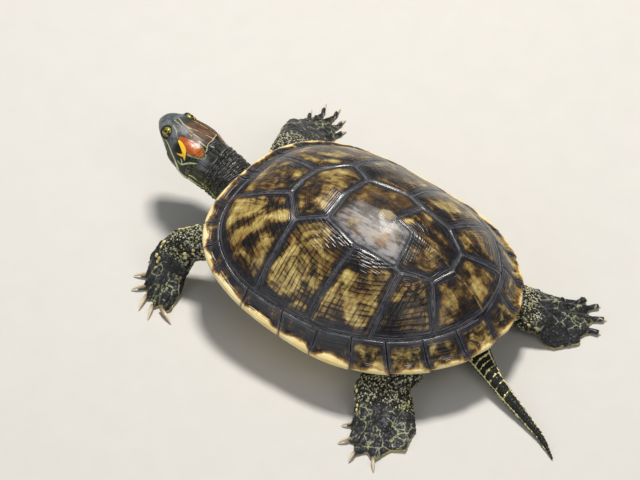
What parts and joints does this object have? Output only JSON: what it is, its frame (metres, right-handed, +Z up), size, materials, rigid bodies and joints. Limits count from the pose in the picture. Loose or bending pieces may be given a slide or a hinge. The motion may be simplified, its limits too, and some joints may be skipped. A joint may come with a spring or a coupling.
{
  "type": "red-eared slider turtle",
  "caption": "Life-size still model of an adult red-eared slider walking on flat ground, with its neck raised, legs spread and tail laid out behind.",
  "frame": {"origin": "on the floor, under the centre of the whole animal's bounding box in plan", "axes": "the nose points along -Y and the tail along +Y; the animal's own left side is +X; +Z is up"},
  "size_m": [0.2322, 0.3224, 0.0789],
  "materials": {
    "scute": "wet, satin to glossy keratin plates, dark umber with amber and olive markings",
    "plastron": "smooth pale yellow keratin with dark blotches",
    "skin": "scaly, wet dark skin with cream, yellow and red markings",
    "jaw": "scaly skin with a horny edge, striped olive and cream",
    "eye": "clear wet cornea over a yellow-green iris with a dark bar"
  },
  "bodies": {
    "root": {"nuchal_scute": "scute", "vertebral_scute_1": "scute", "vertebral_scute_2": "scute", "vertebral_scute_3": "scute", "vertebral_scute_4": "scute", "vertebral_scute_5": "scute", "pleural_scute_left_1": "scute", "pleural_scute_left_2": "scute", "pleural_scute_left_3": "scute", "pleural_scute_left_4": "scute", "marginal_scute_left_1": "scute", "marginal_scute_left_2": "scute", "marginal_scute_left_3": "scute", "marginal_scute_left_4": "scute", "marginal_scute_left_5": "scute", "marginal_scute_left_6": "scute", "marginal_scute_left_7": "scute", "marginal_scute_left_8": "scute", "marginal_scute_left_9": "scute", "marginal_scute_left_10": "scute", "marginal_scute_left_11": "scute", "marginal_scute_left_12": "scute", "pleural_scute_right_1": "scute", "pleural_scute_right_2": "scute", "pleural_scute_right_3": "scute", "pleural_scute_right_4": "scute", "marginal_scute_right_1": "scute", "marginal_scute_right_2": "scute", "marginal_scute_right_3": "scute", "marginal_scute_right_4": "scute", "marginal_scute_right_5": "scute", "marginal_scute_right_6": "scute", "marginal_scute_right_7": "scute", "marginal_scute_right_8": "scute", "marginal_scute_right_9": "scute", "marginal_scute_right_10": "scute", "marginal_scute_right_11": "scute", "marginal_scute_right_12": "scute", "plastron": "plastron", "trunk": "skin", "neck": "skin", "head": "skin", "lower_jaw": "jaw", "eye_left": "eye", "eye_right": "eye", "tail": "skin", "front_left_leg": "skin", "front_left_foot": "skin", "front_right_leg": "skin", "front_right_foot": "skin", "hind_left_leg": "skin", "hind_left_foot": "skin", "hind_right_leg": "skin", "hind_right_foot": "skin"}
  },
  "joints": []
}
